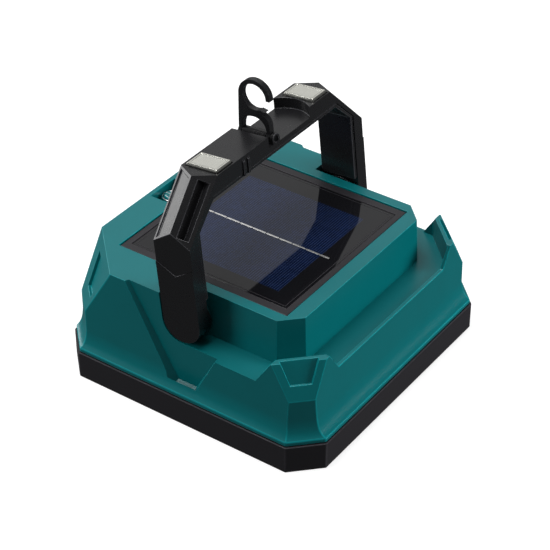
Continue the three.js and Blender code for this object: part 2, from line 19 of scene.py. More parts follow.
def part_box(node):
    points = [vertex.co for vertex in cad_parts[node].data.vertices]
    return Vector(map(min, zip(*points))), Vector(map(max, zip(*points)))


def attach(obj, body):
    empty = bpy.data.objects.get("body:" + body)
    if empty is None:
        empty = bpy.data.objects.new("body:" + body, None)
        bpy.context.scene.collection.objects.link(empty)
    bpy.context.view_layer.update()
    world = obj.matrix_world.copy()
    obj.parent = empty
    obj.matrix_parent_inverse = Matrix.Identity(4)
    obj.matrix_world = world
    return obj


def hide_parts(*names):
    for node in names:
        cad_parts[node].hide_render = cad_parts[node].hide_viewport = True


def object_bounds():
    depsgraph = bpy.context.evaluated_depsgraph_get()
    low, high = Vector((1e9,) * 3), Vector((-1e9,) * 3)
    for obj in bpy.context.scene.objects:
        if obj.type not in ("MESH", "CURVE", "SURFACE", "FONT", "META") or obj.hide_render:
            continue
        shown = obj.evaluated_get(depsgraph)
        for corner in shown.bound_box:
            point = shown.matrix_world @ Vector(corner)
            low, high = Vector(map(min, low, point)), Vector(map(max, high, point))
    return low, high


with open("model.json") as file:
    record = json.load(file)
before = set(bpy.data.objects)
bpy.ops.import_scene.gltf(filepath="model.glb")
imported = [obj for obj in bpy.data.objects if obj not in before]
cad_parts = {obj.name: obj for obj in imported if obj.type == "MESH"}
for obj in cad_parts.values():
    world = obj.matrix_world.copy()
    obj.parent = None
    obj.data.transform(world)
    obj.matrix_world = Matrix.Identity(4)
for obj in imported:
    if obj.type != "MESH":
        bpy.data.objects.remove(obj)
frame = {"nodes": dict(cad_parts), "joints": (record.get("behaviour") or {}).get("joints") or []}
cad_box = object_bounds()

log = logging.getLogger("lantern")

MM = 0.001
Colour = tuple[float, float, float]
Point = tuple[float, float, float]


class Body(str, Enum):
    """The rigid bodies that pieces ride on."""

    ROOT = "root"
    HANDLE = "handle"
    HOOK = "hook"
    BUTTON = "power_button"
    FLAP = "usb_flap"


# ------------------------------------------------------------------ shader wiring
@dataclass(frozen=True)
class Wire:
    """One output socket; arithmetic on it adds Math nodes."""

    paint: "Paint"
    socket: bpy.types.NodeSocket

    def _math(self, operation: str, *values: "Wire | float") -> "Wire":
        """Adds one Math node.

        Args:
            operation: Name of the Math node's operation.
            values: Its inputs, in order.

        Returns:
            The node's output.
        """
        return self.paint.node("ShaderNodeMath", {"operation": operation}, dict(enumerate(values)))

    def __add__(self, other: "Wire | float") -> "Wire":
        """Sum."""
        return self._math("ADD", self, other)

    def __sub__(self, other: "Wire | float") -> "Wire":
        """Difference."""
        return self._math("SUBTRACT", self, other)

    def __mul__(self, other: "Wire | float") -> "Wire":
        """Product."""
        return self._math("MULTIPLY", self, other)

    def above(self, edge: "Wire | float") -> "Wire":
        """1 where this is over the edge, otherwise 0."""
        return self._math("GREATER_THAN", self, edge)

    def below(self, edge: "Wire | float") -> "Wire":
        """1 where this is under the edge, otherwise 0."""
        return self._math("LESS_THAN", self, edge)

    def repeats(self, pitch: float) -> "Wire":
        """Distance travelled since the last multiple of the pitch."""
        return self._math("FLOORED_MODULO", self, pitch)

    def size(self) -> "Wire":
        """Absolute value."""
        return self._math("ABSOLUTE", self)

    def spread(self, low: float, high: float) -> "Wire":
        """Maps 0..1 onto low..high."""
        return self * (high - low) + low


class Paint:
    """A material under construction."""

    def __init__(self, name: str) -> None:
        """Starts a material with a bare Principled shader.

        Args:
            name: Name of the new material.
        """
        self.material = bpy.data.materials.new(name)
        self.material.use_nodes = True
        self.tree = self.material.node_tree
        self.shader = self.tree.nodes["Principled BSDF"]

    def node(self, kind: str, settings: dict | None = None, sockets: dict | None = None,
             output: int | str = 0) -> Wire:
        """Adds any node.

        Args:
            kind: Type name of the node.
            settings: Properties of the node, set before its sockets.
            sockets: Input name or number to a value or a Wire.
            output: Which output to hand back.

        Returns:
            The chosen output.
        """
        made = self.tree.nodes.new(kind)
        for key, value in (settings or {}).items():
            setattr(made, key, value)
        for key, value in (sockets or {}).items():
            self._plug(made.inputs[key], value)
        return Wire(self, made.outputs[output])

    def _plug(self, socket: bpy.types.NodeSocket, value: "Wire | float | Sequence[float]") -> None:
        """Links or sets one input socket.

        Args:
            socket: The input.
            value: A Wire to link, or a value to set.
        """
        if isinstance(value, Wire):
            self.tree.links.new(value.socket, socket)
        elif isinstance(value, (int, float)):
            socket.default_value = value
        else:
            room = len(socket.default_value)
            socket.default_value = [*value, 1.0][:room] if room > len(value) else value

    def set(self, **sockets: "Wire | float | Sequence[float]") -> None:
        """Feeds the shader's sockets, with underscores for the spaces in their names."""
        for key, value in sockets.items():
            self._plug(self.shader.inputs[key.replace("_", " ")], value)

    def place(self) -> Wire:
        """Position on the piece, in metres."""
        return self.node("ShaderNodeTexCoord", output="Object")

    def axes(self) -> tuple[Wire, Wire, Wire]:
        """The three coordinates of the position."""
        cut = self.node("ShaderNodeSeparateXYZ", sockets={0: self.place()})
        return tuple(Wire(self, cut.socket.node.outputs[i]) for i in range(3))

    def noise(self, scale: float, detail: float = 2.0, stretch: Point = (1, 1, 1)) -> Wire:
        """Soft noise from 0 to 1.

        Args:
            scale: Number of blotches in a metre.
            detail: Octaves of finer noise.
            stretch: Scale along each axis.

        Returns:
            The noise.
        """
        at = self.node("ShaderNodeMapping", sockets={"Vector": self.place(), "Scale": stretch})
        return self.node("ShaderNodeTexNoise", sockets={"Vector": at, "Scale": scale, "Detail": detail})

    def blend(self, factor: "Wire | float", first: "Wire | Colour", second: "Wire | Colour") -> Wire:
        """Mixes two colours.

        Args:
            factor: 0 for the first colour, 1 for the second.
            first: The first colour.
            second: The second colour.

        Returns:
            The mixed colour.
        """
        mix = {"data_type": "RGBA"}
        return self.node("ShaderNodeMix", mix, {0: factor, 6: first, 7: second}, output=2)

    def bump(self, height: Wire, depth: float, strength: float = 1.0) -> Wire:
        """A normal from a height.

        Args:
            height: Height from 0 to 1.
            depth: Metres that height 1 stands for.
            strength: How much of it shows.

        Returns:
            The normal.
        """
        return self.node("ShaderNodeBump", sockets={
            "Height": height, "Distance": depth, "Strength": strength}, output="Normal")

    def painted_edge_highlight(self) -> Wire:
        """Mask of the painted edge highlight: 1 on a rounded edge, broken up by noise, otherwise 0."""
        edge = self.node("ShaderNodeAttribute", {"attribute_name": EDGE}, output="Fac")
        return edge * self.noise(120, 3).spread(0.25, 0.95)


# ------------------------------------------------------------------ finishes
EDGE = "rounded_edge"


def scaled(colour: Colour, by: float) -> Colour:
    """A colour made lighter or darker.

    Args:
        colour: The colour.
        by: The factor.

    Returns:
        The new colour.
    """
    return tuple(min(1.0, part * by) for part in colour)


@dataclass(frozen=True)
class Finish:
    """What every finish has: a name, a colour and a gloss."""

    name: str
    colour: Colour
    roughness: float

    def dress(self, paint: Paint) -> None:
        """Wires the finish into a material. Each kind of finish has its own."""
        raise NotImplementedError

    def material(self) -> bpy.types.Material:
        """The material of this finish, made the first time it is asked for."""
        found = bpy.data.materials.get(self.name)
        if found:
            return found
        paint = Paint(self.name)
        self.dress(paint)
        return paint.material


@dataclass(frozen=True)
class MouldedPlastic(Finish):
    """Injection-moulded plastic with a spark-eroded texture and a painted highlight on its rounded edges."""

    specular: float = 0.4
    grain: float = 1500
    depth: float = 0.012 * MM
    # How much lighter the painted edge highlight is than the body colour.
    edge_highlight_gain: float = 1.5

    def dress(self, paint: Paint) -> None:
        """Wires blotchy tone, fine grain and a painted highlight on the rounded edges."""
        flow = paint.noise(14, 4)
        cloud = paint.noise(95, 3)
        grain = paint.noise(self.grain, 3)
        pits = paint.node("ShaderNodeTexVoronoi", {"feature": "F1"},
                          {"Vector": paint.place(), "Scale": self.grain * 1.4}, output="Distance")
        tone = (flow * 0.6 + cloud * 0.4).spread(0.05, 0.95)
        body = paint.blend(tone, scaled(self.colour, 0.88), scaled(self.colour, 1.12))
        # Painted highlight: rounded edges are blended towards a lighter copy of the colour, which stands in
        # for reflected light.
        edge_lit_colour = paint.blend(paint.painted_edge_highlight(), body, scaled(self.colour, self.edge_highlight_gain))
        paint.set(
            Base_Color=edge_lit_colour, Specular_IOR_Level=self.specular,
            Roughness=(grain * 0.5 + cloud * 0.5).spread(self.roughness - 0.07, self.roughness + 0.07),
            Normal=paint.bump(grain * 0.6 + pits * 0.4, self.depth, 0.6),
        )


@dataclass(frozen=True)
class PlatedMetal(Finish):
    """Bright plating with fine polishing lines."""

    lines: Point = (30, 900, 900)
    depth: float = 0.004 * MM

    def dress(self, paint: Paint) -> None:
        """Wires polishing lines and faint clouds of tarnish."""
        polish = paint.noise(9, 4, self.lines)
        cloud = paint.noise(180, 3)
        paint.set(
            Base_Color=paint.blend(cloud, scaled(self.colour, 0.93), scaled(self.colour, 1.05)),
            Metallic=1.0,
            Roughness=(polish * 0.6 + cloud * 0.4).spread(self.roughness - 0.08, self.roughness + 0.1),
            Normal=paint.bump(polish, self.depth, 0.5),
        )


@dataclass(frozen=True)
class SoftRubber(Finish):
    """Matt rubber with a dusty bloom."""

    def dress(self, paint: Paint) -> None:
        """Wires a dusty tone and a coarse skin."""
        skin = paint.noise(900, 4)
        bloom = paint.noise(60, 4)
        paint.set(
            Base_Color=paint.blend(bloom, self.colour, scaled(self.colour, 1.7)),
            Specular_IOR_Level=0.3,
            Roughness=bloom.spread(self.roughness - 0.1, self.roughness + 0.08),
            Normal=paint.bump(skin, 0.03 * MM, 0.7),
        )


@dataclass(frozen=True)
class ClearPlastic(Finish):
    """Clear moulding, lightly frosted."""

    passes: float = 0.9

    def dress(self, paint: Paint) -> None:
        """Wires a faint frost over a see-through body."""
        frost = paint.noise(700, 3)
        haze = paint.noise(40, 3)
        paint.set(
            Base_Color=paint.blend(haze, scaled(self.colour, 0.94), self.colour),
            Transmission_Weight=self.passes, IOR=1.49,
            Roughness=haze.spread(self.roughness - 0.04, self.roughness + 0.05),
            Normal=paint.bump(frost, 0.006 * MM, 0.4),
        )


@dataclass(frozen=True)
class SolarLaminate(Finish):
    """Blue cells with fine fingers, on a black sheet under a clear glossy coat."""

    middle: tuple[float, float] = (0.0, 0.0)
    cells: tuple[float, float] = (0.1, 0.1)
    finger: float = 1.35 * MM
    blue: Colour = (0.003, 0.007, 0.026)

    def dress(self, paint: Paint) -> None:
        """Wires the cell area, its crystal flecks and its fingers."""
        x, y, _ = paint.axes()
        across = (x - self.middle[0]).size()
        along = (y - self.middle[1]).size()
        area = across.below(self.cells[0] / 2) * along.below(self.cells[1] / 2)
        fleck = paint.node("ShaderNodeTexVoronoi", {"feature": "F1"},
                           {"Vector": paint.place(), "Scale": 420, "Randomness": 1.0}, output="Color")
        grey = paint.node("ShaderNodeRGBToBW", sockets={0: fleck})
        cloud = paint.noise(28, 3)
        crystal = paint.blend(grey * 0.6 + cloud * 0.4, scaled(self.blue, 0.45), scaled(self.blue, 1.7))
        finger = (x + 1.0).repeats(self.finger).below(0.32 * MM)
        printed = paint.blend(finger * 0.6, crystal, (0.028, 0.040, 0.085))
        sheet = paint.blend(cloud, self.colour, scaled(self.colour, 1.6))
        paint.set(
            Base_Color=paint.blend(area, sheet, printed),
            Roughness=cloud.spread(self.roughness, self.roughness + 0.1),
            Specular_IOR_Level=0.0, Coat_Weight=1.0, Coat_Roughness=0.04,
            Normal=paint.bump(cloud, 0.05 * MM, 0.25),
        )


@dataclass(frozen=True)
class CircuitBoard(Finish):
    """Solder mask over copper tracks."""

    def dress(self, paint: Paint) -> None:
        """Wires straight tracks under the mask."""
        x, y, _ = paint.axes()
        track = (x.repeats(2.4 * MM).below(0.5 * MM) + y.repeats(5.5 * MM).below(0.6 * MM)).above(0.5)
        cloud = paint.noise(60, 3)
        mask = paint.blend(cloud, scaled(self.colour, 0.85), scaled(self.colour, 1.1))
        paint.set(
            Base_Color=paint.blend(track * 0.5, mask, scaled(self.colour, 2.0)),
            Roughness=cloud.spread(self.roughness - 0.05, self.roughness + 0.1),
            Normal=paint.bump(track, 0.03 * MM, 0.6),
        )


@dataclass(frozen=True)
class Backdrop(Finish):
    """Pale paper that the lantern stands on."""

    glow: float = 0.70

    def dress(self, paint: Paint) -> None:
        """Wires a plain sheet with a trace of paper grain."""
        grain = paint.noise(220, 3)
        paint.set(
            Base_Color=paint.blend(grain, scaled(self.colour, 0.985), self.colour),
            Roughness=self.roughness, Specular_IOR_Level=0.0,
            Emission_Color=(1.0, 1.0, 1.0), Emission_Strength=self.glow,
        )


class Palette:
    """Every finish on the lantern."""

    # The edge gains below set how strong each plastic's painted edge highlight is.
    TEAL = MouldedPlastic("teal_housing_plastic", (0.001, 0.125, 0.136), 0.34, specular=0.45, edge_highlight_gain=2.0)
    BLACK = MouldedPlastic("black_bezel_plastic", (0.020, 0.019, 0.022), 0.40, specular=0.3, edge_highlight_gain=2.5)
    HANDLE = MouldedPlastic("black_handle_plastic", (0.009, 0.009, 0.010), 0.28, specular=0.5, edge_highlight_gain=10.0,
                            depth=0.004 * MM)
    WHITE = MouldedPlastic("white_reflector_plastic", (0.80, 0.80, 0.77), 0.3)
    MARK = MouldedPlastic("white_marking_ink", (0.75, 0.77, 0.77), 0.5, grain=2500)
    CHIP = MouldedPlastic("black_chip_resin", (0.012, 0.012, 0.013), 0.45, grain=2500)
    WRAP = MouldedPlastic("blue_cell_wrap", (0.03, 0.12, 0.45), 0.3, grain=600)
    AMBER = MouldedPlastic("yellow_diode_phosphor", (0.85, 0.60, 0.10), 0.35, grain=2500)
    NICKEL = PlatedMetal("nickel_plate", (0.98, 0.97, 0.88), 0.24, lines=(900, 30, 900))
    CHROME = PlatedMetal("chrome_trim", (0.90, 0.91, 0.92), 0.12)
    BLACKENED = PlatedMetal("blackened_steel", (0.05, 0.05, 0.055), 0.4, lines=(30, 600, 600))
    STEEL = PlatedMetal("zinc_plated_steel", (0.58, 0.58, 0.59), 0.32, lines=(600, 600, 30))
    SOLDER = PlatedMetal("tinned_busbar", (0.92, 0.92, 0.90), 0.30, lines=(200, 900, 900))
    ALUMINIUM = PlatedMetal("extruded_aluminium", (0.72, 0.73, 0.75), 0.34, lines=(20, 900, 900))
    RUBBER = SoftRubber("black_rubber", (0.020, 0.020, 0.021), 0.72)
    CLEAR = ClearPlastic("clear_lens_plastic", (0.94, 0.96, 0.97), 0.10)
    FROST = ClearPlastic("frosted_light_pipe", (0.90, 0.93, 0.95), 0.35, passes=0.5)
    BOARD = CircuitBoard("green_circuit_board", (0.02, 0.16, 0.06), 0.35)
    PAPER = Backdrop("studio_paper", (0.45, 0.45, 0.45), 0.8)


# ------------------------------------------------------------------ mesh work
def tube_path(bm: bmesh.types.BMesh, points: Sequence[Vector], radius: float, sides: int = 10) -> None:
    """Adds a closed round rod along a line of points.

    Args:
        bm: The mesh to add to.
        points: The middle line.
        radius: Radius of the rod.
        sides: Corners of its section.
    """
    rings = []
    for i, point in enumerate(points):
        way = (points[min(i + 1, len(points) - 1)] - points[max(i - 1, 0)]).normalized()
        turn = way.to_track_quat("Z", "Y")
        rings.append([
            bm.verts.new(point + turn @ Vector((radius * math.cos(a), radius * math.sin(a), 0)))
            for a in (math.tau * k / sides for k in range(sides))
        ])
    for low, high in zip(rings, rings[1:]):
        for k in range(sides):
            bm.faces.new((low[k], low[(k + 1) % sides], high[(k + 1) % sides], high[k]))
    bm.faces.new(list(reversed(rings[0])))
    bm.faces.new(rings[-1])


def block(bm: bmesh.types.BMesh, low: Sequence[float], high: Sequence[float]) -> None:
    """Adds a box.

    Args:
        bm: The mesh to add to.
        low: Its lowest corner.
        high: Its highest corner.
    """
    low, high = Vector(low), Vector(high)
    fit = Matrix.Translation((low + high) / 2) @ Matrix.Diagonal((*(high - low), 1.0))
    bmesh.ops.create_cube(bm, size=1.0, matrix=fit)


def prism(bm: bmesh.types.BMesh, outline: Sequence[Point], push: Sequence[float]) -> None:
    """Adds a flat outline pushed along a vector.

    Args:
        bm: The mesh to add to.
        outline: Corners of the outline, in order.
        push: How far and which way it is pushed.
    """
    near = [bm.verts.new(point) for point in outline]
    far = [bm.verts.new(Vector(point) + Vector(push)) for point in outline]
    bm.faces.new(near)
    bm.faces.new(list(reversed(far)))
    count = len(near)
    for i in range(count):
        j = (i + 1) % count
        bm.faces.new((near[j], near[i], far[i], far[j]))


def overlapping(bm: bmesh.types.BMesh, tag: bmesh.types.BMLayerItem) -> set[int]:
    """Finds the faces that fold over themselves.

    Args:
        bm: The mesh.
        tag: Face layer that holds the number of the face each one came from.

    Returns:
        The numbers of the faces that the folded ones came from.
    """
    bm.normal_update()
    covered: dict[bmesh.types.BMFace, float] = {}
    for loops in bm.calc_loop_triangles():
        a, b, c = (loop.vert.co for loop in loops)
        covered[loops[0].face] = covered.get(loops[0].face, 0.0) + (b - a).cross(c - a).length / 2
    least = 2e-9
    share = 0.004
    return {
        face[tag] for face, area in covered.items()
        if area - face.calc_area() > max(least, share * face.calc_area())
    }


def bevelled(bm: bmesh.types.BMesh, weights: dict[int, float], width: float) -> bmesh.types.BMesh:
    """A copy of a mesh with its edges rounded.

    Args:
        bm: The mesh.
        weights: Number of each edge to round, and its share of the width.
        width: The full width.

    Returns:
        The rounded copy, its new strips in the second material slot.
    """
    copy = bm.copy()
    layer = copy.edges.layers.float.new("bevel_weight_edge")
    copy.edges.ensure_lookup_table()
    for index, weight in weights.items():
        copy.edges[index][layer] = weight
    mesh = bpy.data.meshes.new("rounding")
    copy.to_mesh(mesh)
    copy.free()
    obj = bpy.data.objects.new("rounding", mesh)
    bpy.context.scene.collection.objects.link(obj)
    for _ in range(2):
        mesh.materials.append(None)
    modifier = obj.modifiers.new("rounding", "BEVEL")
    modifier.limit_method = "WEIGHT"
    modifier.width = width
    modifier.segments = 2
    modifier.profile = 0.55
    modifier.use_clamp_overlap = False
    modifier.material = 1
    shaped = obj.evaluated_get(bpy.context.evaluated_depsgraph_get())
    result = bmesh.new()
    result.from_mesh(shaped.to_mesh())
    bpy.data.objects.remove(obj)
    bpy.data.meshes.remove(mesh)
    return result


def soften(bm: bmesh.types.BMesh, width: float, turn: float = 24.0) -> None:
    """Rounds the sharp edges of a mesh, less where there is no room, and marks the new strips.

    Args:
        bm: The mesh.
        width: Width of the rounding.
        turn: Edges that turn by more than this many degrees are rounded.
    """
    bmesh.ops.recalc_face_normals(bm, faces=bm.faces)
    tag = bm.faces.layers.int.new("came_from")
    for index, face in enumerate(bm.faces):
        face[tag] = index
    bm.edges.index_update()
    bm.faces.ensure_lookup_table()
    limit = math.radians(turn)
    weights = {e.index: 1.0 for e in bm.edges if e.is_manifold and e.calc_face_angle(0.0) > limit}
    least = 0.12
    step = 0.65
    retries = 9
    result = bevelled(bm, weights, width)
    for _ in range(retries):
        hurt = overlapping(result, result.faces.layers.int["came_from"])
        if not hurt:
            break
        for edge in {e.index for index in hurt for e in bm.faces[index].edges} & weights.keys():
            weights[edge] = weights[edge] * step if weights[edge] > least else 0.0
        result.free()
        result = bevelled(bm, weights, width)
    strip = result.faces.layers.float.new(EDGE)
    for face in result.faces:
        face[strip] = float(face.material_index)
        face.material_index = 0
    rounded = bpy.data.meshes.new("rounded")
    result.to_mesh(rounded)
    result.free()
    bm.clear()
    bm.from_mesh(rounded)
    bpy.data.meshes.remove(rounded)


def melt(bm: bmesh.types.BMesh, voxel: float, passes: int, trim: float) -> None:
    """Rebuilds a small moulding from fine cells, which rounds every edge evenly.

    Args:
        bm: The mesh.
        voxel: Size of the cells.
        passes: How often it is smoothed.
        trim: How far its skin is drawn in, so that it moves freely.
    """
    mesh = bpy.data.meshes.new("melting")
    bm.to_mesh(mesh)
    obj = bpy.data.objects.new("melting", mesh)
    bpy.context.scene.collection.objects.link(obj)
    cells = obj.modifiers.new("cells", "REMESH")
    cells.mode = "VOXEL"
    cells.voxel_size = voxel
    smooth = obj.modifiers.new("smooth", "SMOOTH")
    smooth.factor = 0.5
    smooth.iterations = passes
    skin = obj.modifiers.new("skin", "DISPLACE")
    skin.mid_level = 0.0
    skin.strength = -trim
    shaped = obj.evaluated_get(bpy.context.evaluated_depsgraph_get())
    bm.clear()
    bm.from_mesh(shaped.to_mesh())
    bpy.data.objects.remove(obj)
    bpy.data.meshes.remove(mesh)


class CornerShading:
    """Works out shading that keeps broad faces flat and blends everything between them."""

    broad_size = 5 * MM
    facing = 0.1

    def __init__(self, bm: bmesh.types.BMesh, smooth: float) -> None:
        """Looks at every face once.

        Args:
            bm: The mesh.
            smooth: Faces that turn by less than this many degrees shade into each other.
        """
        bm.normal_update()
        self.bm = bm
        self.limit = math.cos(math.radians(smooth))
        strip = bm.faces.layers.float.get(EDGE)
        self.area = {f: f.calc_area() for f in bm.faces}
        self.strips = {f for f in bm.faces if strip and f[strip]}
        self.broad = {
            f for f in bm.faces if f not in self.strips
            and 2 * self.area[f] > self.broad_size * sum(e.calc_length() for e in f.edges)
        }

    def blended(self, faces: Iterable[bmesh.types.BMFace]) -> Vector:
        """The mean normal of some faces, each counted by its area.

        Args:
            faces: The faces.

        Returns:
            The normal.
        """
        return sum((f.normal * self.area[f] for f in faces), Vector()).normalized()

    def plain(self, face: bmesh.types.BMFace, vert: bmesh.types.BMVert) -> Vector:
        """The normal of a plain face at one of its corners.

        Args:
            face: The face.
            vert: The corner.

        Returns:
            The normal.
        """
        if face in self.broad:
            return face.normal.copy()
        near = [f for f in vert.link_faces if f not in self.strips and f.normal.dot(face.normal) > self.limit]
        broad = [f for f in near if f in self.broad]
        if broad:
            return max(broad, key=lambda f: f.normal.dot(face.normal)).normal.copy()
        return self.blended(near)

    def corner(self, loop: bmesh.types.BMLoop) -> Vector:
        """The normal at one corner of any face.

        Args:
            loop: The corner.

        Returns:
            The normal.
        """
        if loop.face not in self.strips:
            return self.plain(loop.face, loop.vert)
        edges = (loop.edge, loop.link_loop_prev.edge)
        sides = [f for e in edges for f in e.link_faces if f not in self.strips]
        if sides:
            return self.plain(max(sides, key=self.area.get), loop.vert)
        return self.blended(f for f in loop.vert.link_faces if f.normal.dot(loop.face.normal) > self.facing)

    def normals(self) -> list[Vector]:
        """The normals of all corners, face by face."""
        return [self.corner(loop) for face in self.bm.faces for loop in face.loops]


@dataclass
class SubAssembly:
    """A group of pieces that is built and dressed together."""

    body: Body = Body.ROOT
    made: list[str] = field(default_factory=list)

    def solid(self, node: str) -> bmesh.types.BMesh:
        """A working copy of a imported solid, its flat faces joined up.

        Args:
            node: Name of the node.

        Returns:
            The mesh.
        """
        touching = 0.002 * MM
        flat = math.radians(0.7)
        bm = bmesh.new()
        bm.from_mesh(frame["nodes"][node].data)
        bmesh.ops.remove_doubles(bm, verts=bm.verts, dist=touching)
        bmesh.ops.dissolve_limit(bm, angle_limit=flat, verts=bm.verts, edges=bm.edges)
        return bm

    def piece(self, name: str, bm: bmesh.types.BMesh, finish: Finish, slot: str,
              body: Body | None = None, smooth: float = 26.0) -> bpy.types.Object:
        """Turns a mesh into a dressed piece that rides on a body.

        Args:
            name: Name of the piece.
            bm: Its mesh, which is used up.
            finish: What it is made of.
            slot: The record's material slot; not used.
            body: Body it rides on, if not the sub-assembly's own.
            smooth: Faces that turn by less than this many degrees shade into each other.

        Returns:
            The new object.
        """
        bmesh.ops.recalc_face_normals(bm, faces=bm.faces)
        for edge in bm.edges:
            edge.smooth = True
        for face in bm.faces:
            face.smooth = True
        normals = CornerShading(bm, smooth).normals()
        mesh = bpy.data.meshes.new(name)
        bm.to_mesh(mesh)
        bm.free()
        mesh.normals_split_custom_set(normals)
        mesh.materials.append(finish.material())
        obj = bpy.data.objects.new(name, mesh)
        bpy.context.scene.collection.objects.link(obj)
        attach(obj, (body or self.body).value)
        self.made.append(name)
        return obj

    def rounded(self, node: str, finish: Finish, slot: str, width: float, body: Body | None = None,
                rework: Callable[[bmesh.types.BMesh], None] | None = None) -> bpy.types.Object:
        """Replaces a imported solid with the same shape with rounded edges.

        Args:
            node: Name of the node.
            finish: What it is made of.
            slot: The record's material slot.
            width: Width of the rounding, or 0 for none.
            body: Body it rides on, if not the sub-assembly's own.
            rework: Changes made to the mesh before its edges are rounded.

        Returns:
            The new object.
        """
        bm = self.solid(node)
        if rework:
            rework(bm)
        if width:
            soften(bm, width)
        obj = self.piece(f"{node}_finished", bm, finish, slot, body, smooth=26.0 if width else 80.0)
        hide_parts(node)
        return obj

    def dress(self, nodes: Iterable[str], finish: Finish) -> None:
        """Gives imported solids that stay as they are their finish.

        Args:
            nodes: Names of the nodes.
            finish: What they are made of.
        """
        for name in nodes:
            mesh = frame["nodes"][name].data
            mesh.materials.clear()
            mesh.materials.append(finish.material())
            self.made.append(name)

    def build(self) -> None:
        """Makes and dresses everything in the sub-assembly. Each one has its own."""
        raise NotImplementedError


# ------------------------------------------------------------------ sub-assemblies
@dataclass
class Housing(SubAssembly):
    """The teal case with its channel, island and corner posts."""

    edge: float = 0.55 * MM

    def build(self) -> None:
        """Rounds the moulding."""
        self.rounded("housing", Palette.TEAL, "teal_plastic", self.edge)
        self.dress(["housing_seal"], Palette.RUBBER)


@dataclass
class Base(SubAssembly):
    """The black bezel, its screws and the light unit behind the lens."""

    edge: float = 0.6 * MM
    rib: float = 0.35 * MM
    ribbed_share: float = 0.66
    ribs_each_side: int = 14

    def build(self) -> None:
        """Rounds the bezel and lens and dresses the light unit."""
        self.rounded("bezel", Palette.BLACK, "black_plastic", self.edge)
        self.rounded("light_lens", Palette.CLEAR, "clear_plastic", 0.3 * MM)
        for side in ("left", "right"):
            for end in ("near", "far"):
                self.rounded(f"case_screw_{side}_{end}", Palette.STEEL, "steel", 0.2 * MM)
        self.lens_ribs()
        self.dress(["reflector", "led_board"], Palette.WHITE)
        self.dress(["led_array"], Palette.AMBER)
        self.dress(["heat_sink"], Palette.ALUMINIUM)
        self.dress(["lens_gasket"], Palette.RUBBER)

    def lens_ribs(self) -> None:
        """Lays straight flutes inside the lens, over the diodes."""
        low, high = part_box("light_lens")
        reach = self.ribbed_share * (high.x - low.x) / 2
        count = self.ribs_each_side
        bm = bmesh.new()
        for i in range(-count, count + 1):
            across = i * reach / count
            ends = [Vector((across, -reach, high.z)), Vector((across, reach, high.z))]
            tube_path(bm, ends, self.rib, sides=8)
        self.piece("lens_ribs", bm, Palette.CLEAR, "clear_plastic")


@dataclass
class SolarPanel(SubAssembly):
    """The black panel frame, its laminate and the tinned busbar."""

    border: float = 5.6 * MM
    dash: float = 8.28 * MM
    dash_gap: float = 0.75 * MM
    cells: tuple[float, float] = (73 * MM, 77 * MM)

    def build(self) -> None:
        """Rounds the frame and lays the laminate, its inner bead and the busbar."""
        self.rounded("solar_board", Palette.BLACK, "black_plastic", 0.35 * MM)
        low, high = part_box("solar_wafer")
        bar_low, bar_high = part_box("solar_busbar")
        middle = ((bar_low.x + bar_high.x) / 2, (bar_low.y + bar_high.y) / 2 + 1.2 * MM)
        laminate = SolarLaminate("solar_laminate", (0.0045, 0.0045, 0.0055), 0.25, middle, self.cells)
        bm = bmesh.new()
        block(bm, low, high)
        soften(bm, 0.15 * MM)
        sheet = self.piece("solar_laminate_sheet", bm, laminate, "solar_cell")
        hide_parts("solar_wafer")
        self.bead(low, high)
        self.busbar(bar_low, bar_high)

    def bead(self, low: Vector, high: Vector) -> None:
        """Runs a thin raised bead round the laminate, inside its border.

        Args:
            low: Lowest corner of the laminate.
            high: Highest corner of the laminate.
        """
        inset = Vector((1.4 * MM, 1.4 * MM, 0))
        inner_low, inner_high = low + inset, high - inset
        bm = bmesh.new()
        width = 0.28 * MM
        top = high.z + 0.12 * MM
        foot = high.z - 0.2 * MM
        for y in (inner_low.y, inner_high.y - width):
            block(bm, (inner_low.x, y, foot), (inner_high.x, y + width, top))
        for x in (inner_low.x, inner_high.x - width):
            block(bm, (x, inner_low.y + width, foot), (x + width, inner_high.y - width, top))
        soften(bm, 0.06 * MM)
        self.piece("laminate_bead", bm, Palette.BLACK, "black_plastic")

    def busbar(self, low: Vector, high: Vector) -> None:
        """Breaks the busbar into its printed dashes.

        Args:
            low: Lowest corner of the busbar.
            high: Highest corner of the busbar.
        """
        bm = bmesh.new()
        x = low.x + 4 * MM
        end = high.x - 1 * MM
        half = 0.55 * MM
        middle = (low.y + high.y) / 2
        thin = half / 3
        foot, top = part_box("solar_wafer")[1].z - 0.05 * MM, high.z - 0.3 * MM
        while x < end:
            stop = min(x + self.dash - self.dash_gap, end)
            link = min(stop + self.dash_gap, end)
            block(bm, (x, middle - half, foot), (stop, middle + half, top))
            block(bm, (stop, middle - thin, foot), (link, middle + thin, top))
            x += self.dash
        soften(bm, 0.05 * MM)
        bar = self.piece("solar_busbar_dashes", bm, Palette.SOLDER, "white_plastic")
        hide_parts("solar_busbar")


